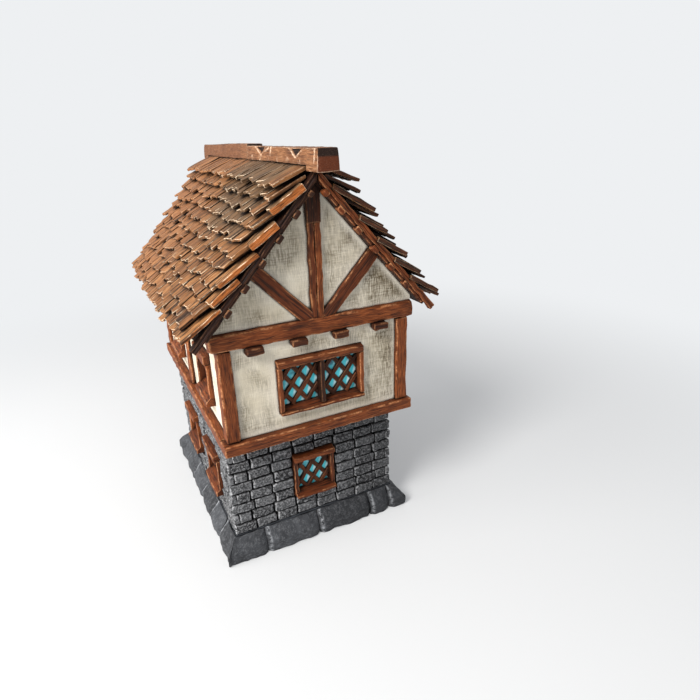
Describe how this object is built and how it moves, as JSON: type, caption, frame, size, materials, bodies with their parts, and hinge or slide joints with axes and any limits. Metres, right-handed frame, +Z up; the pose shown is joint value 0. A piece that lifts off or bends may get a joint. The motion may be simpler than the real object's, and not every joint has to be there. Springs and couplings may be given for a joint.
{
  "type": "tabletop half-timbered house",
  "caption": "Painted tabletop scenery house: stone ground floor with a hinged door, jettied half-timbered storey and shingled gable roof that lift apart.",
  "frame": {"origin": "centre of the overall footprint, on the table face", "axes": "+X to the right along the front gable, the front gable faces -Y, +Z up; the ridge runs along Y"},
  "size_m": [0.0806, 0.1146, 0.1265],
  "materials": {
    "slab": "dark grey paint with pale dry-brushed edges",
    "stone": "dark grey paint with pale dry-brushed edges",
    "floor_wood": "flat brown paint with a dark wash",
    "timber": "dark red-brown paint with worn pale edges",
    "iron": "black paint with a grey dry-brush",
    "plaster": "off-white paint with a thin dark wash",
    "pane": "turquoise paint blended to white, glossy",
    "roof_wood": "tan paint with grey-brown patches and pale dry-brushed ends"
  },
  "bodies": {
    "ground_floor": {"base_plate": "slab", "plinth_slabs": "slab", "front_stone_wall": "stone", "back_stone_wall": "stone", "left_stone_wall": "stone", "right_stone_wall": "stone", "front_stones": "stone", "back_stones": "stone", "left_stones": "stone", "right_stones": "stone", "ground_floor_boards": "floor_wood", "ground_lintels": "timber", "ground_sills": "timber", "ground_jambs": "timber", "ground_lattices": "timber", "ground_panes": "pane", "door_frame": "timber", "door_step": "slab", "door_pintles": "iron"},
    "door": {"door_leaf": "timber", "door_straps": "iron", "door_handle": "iron"},
    "upper_storey": {"upper_floor": "floor_wood", "upper_floor_boards": "floor_wood", "sill_beams": "timber", "corner_posts": "timber", "side_posts": "timber", "front_plaster": "plaster", "back_plaster": "plaster", "left_plaster": "plaster", "right_plaster": "plaster", "upper_lintels": "timber", "upper_sills": "timber", "upper_jambs": "timber", "upper_lattices": "timber", "upper_panes": "pane", "joist_ends": "timber", "floor_locators": "floor_wood"},
    "roof": {"tie_beams": "timber", "roof_plates": "timber", "gable_panels": "plaster", "king_posts": "timber", "gable_braces": "timber", "left_roof_deck": "roof_wood", "right_roof_deck": "roof_wood", "purlin_ends": "timber", "barge_boards": "timber", "barge_fillets": "timber", "left_shingles": "roof_wood", "right_shingles": "roof_wood", "ridge_board": "timber", "ridge_beam": "timber", "ridge_caps": "roof_wood", "roof_locators": "floor_wood"}
  },
  "joints": [
    {"name": "door_hinge", "type": "hinge", "parent": "ground_floor", "child": "door", "pos_m": [0.0304, 0.0055, 0.0225], "axis": [0, 0, 1], "range_deg": [0, 100]},
    {"name": "storey_lift", "type": "slide", "parent": "ground_floor", "child": "upper_storey", "axis": [0, 0, 1], "range_m": [0, 0.06]},
    {"name": "roof_lift", "type": "slide", "parent": "upper_storey", "child": "roof", "axis": [0, 0, 1], "range_m": [0, 0.06]}
  ]
}
